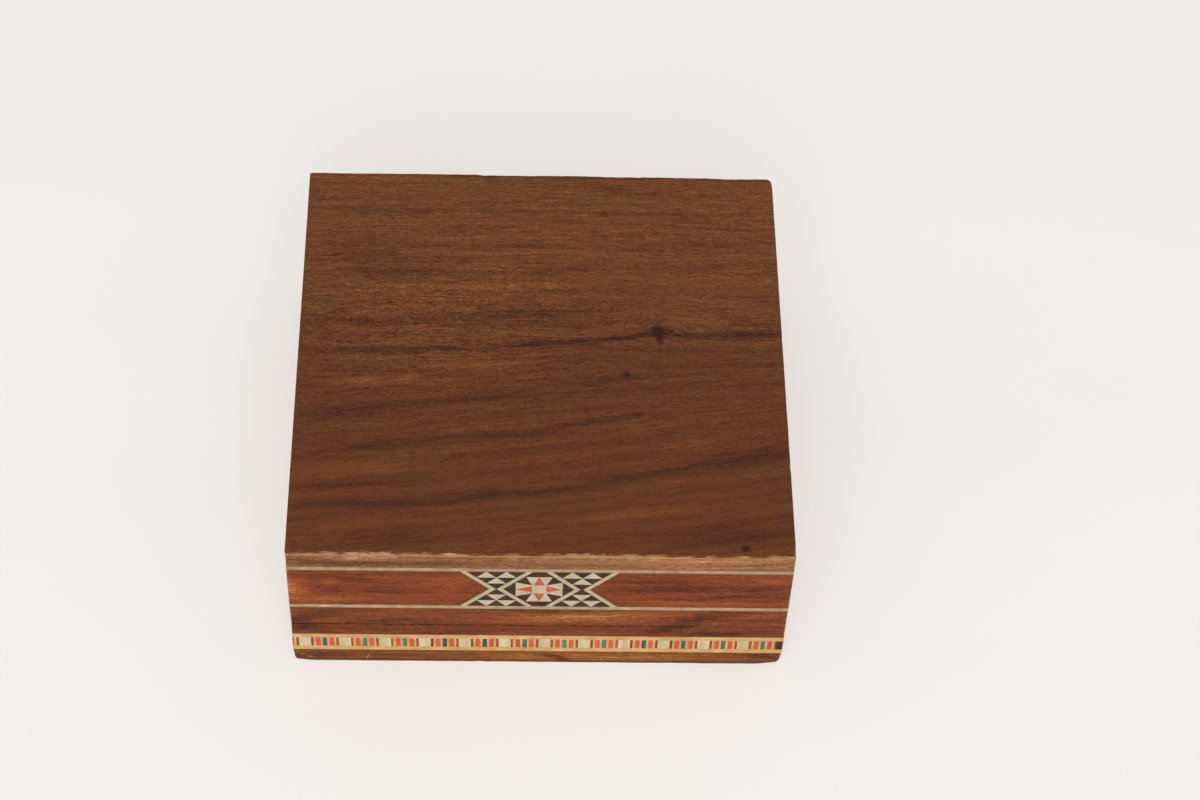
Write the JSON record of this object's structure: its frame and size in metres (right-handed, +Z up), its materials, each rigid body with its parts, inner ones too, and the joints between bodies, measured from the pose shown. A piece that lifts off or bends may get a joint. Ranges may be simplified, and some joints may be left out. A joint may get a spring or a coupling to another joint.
{
  "type": "marquetry box",
  "caption": "Small square marquetry box: walnut-veneered base and deep hinged lid with line inlay, a star frieze and coloured banding, on brass butt hinges.",
  "frame": {"origin": "middle of the underside", "axes": "+Z up, the front with the star frieze faces -Y, the hinges are at +Y"},
  "size_m": [0.1, 0.1029, 0.0386],
  "materials": {
    "walnut_sheet": "satin varnish",
    "walnut_pale": "worn satin varnish",
    "walnut_red": "satin varnish",
    "walnut_brown": "satin varnish",
    "softwood": "bare sawn wood",
    "cream_line": "satin",
    "bone": "satin",
    "ebony": "satin varnish",
    "red_wood": "dyed wood, satin varnish",
    "green_wood": "dyed wood, satin varnish",
    "brown_wood": "satin varnish",
    "cream_wood": "satin varnish",
    "yellow_wood": "satin varnish",
    "brass": "aged, low polish",
    "lining_cloth": "short-pile cloth"
  },
  "bodies": {
    "base": {"band_brown_slices": "brown_wood", "band_cream_blocks": "cream_wood", "band_end_filler": "ebony", "band_green_blocks": "green_wood", "band_lower_border": "yellow_wood", "band_red_blocks": "red_wood", "band_upper_border": "yellow_wood", "band_yellow_slices": "yellow_wood", "base_back_rim_strip": "walnut_brown", "base_back_wall": "softwood", "base_bottom_board": "softwood", "base_bottom_veneer": "walnut_sheet", "base_foot_strips": "walnut_brown", "base_front_rim_strip": "walnut_brown", "base_front_wall": "softwood", "base_left_rim_strip": "walnut_brown", "base_left_wall": "softwood", "base_lining_floor": "lining_cloth", "base_lining_walls": "lining_cloth", "base_right_rim_strip": "walnut_brown", "base_right_wall": "softwood", "hinge_left_lower_leaf": "brass", "hinge_pins": "brass", "hinge_right_lower_leaf": "brass"},
    "lid": {"hinge_left_upper_leaf": "brass", "hinge_right_upper_leaf": "brass", "lid_back_edge_strip": "walnut_pale", "lid_back_frieze": "walnut_red", "lid_back_skirt_strip": "walnut_brown", "lid_back_wall": "softwood", "lid_front_edge_strip": "walnut_pale", "lid_front_frieze_left": "walnut_red", "lid_front_frieze_right": "walnut_red", "lid_front_skirt_strip": "walnut_brown", "lid_front_wall": "softwood", "lid_left_edge_strip": "walnut_pale", "lid_left_frieze": "walnut_red", "lid_left_skirt_strip": "walnut_brown", "lid_left_wall": "softwood", "lid_lining_roof": "lining_cloth", "lid_lining_walls": "lining_cloth", "lid_lower_line": "cream_line", "lid_right_edge_strip": "walnut_pale", "lid_right_frieze": "walnut_red", "lid_right_skirt_strip": "walnut_brown", "lid_right_wall": "softwood", "lid_top_board": "softwood", "lid_top_veneer": "walnut_sheet", "lid_upper_line": "cream_line", "motif_cross_strips": "cream_line", "motif_dark_triangles": "ebony", "motif_light_triangles": "bone", "star_centre": "bone", "star_ground": "ebony", "star_light_points": "bone", "star_red_points": "red_wood"}
  },
  "joints": [
    {"name": "lid_hinge", "type": "hinge", "parent": "base", "child": "lid", "pos_m": [0, 0.0516, 0.0137], "axis": [-1, 0, 0], "range_deg": [0, 125]}
  ]
}
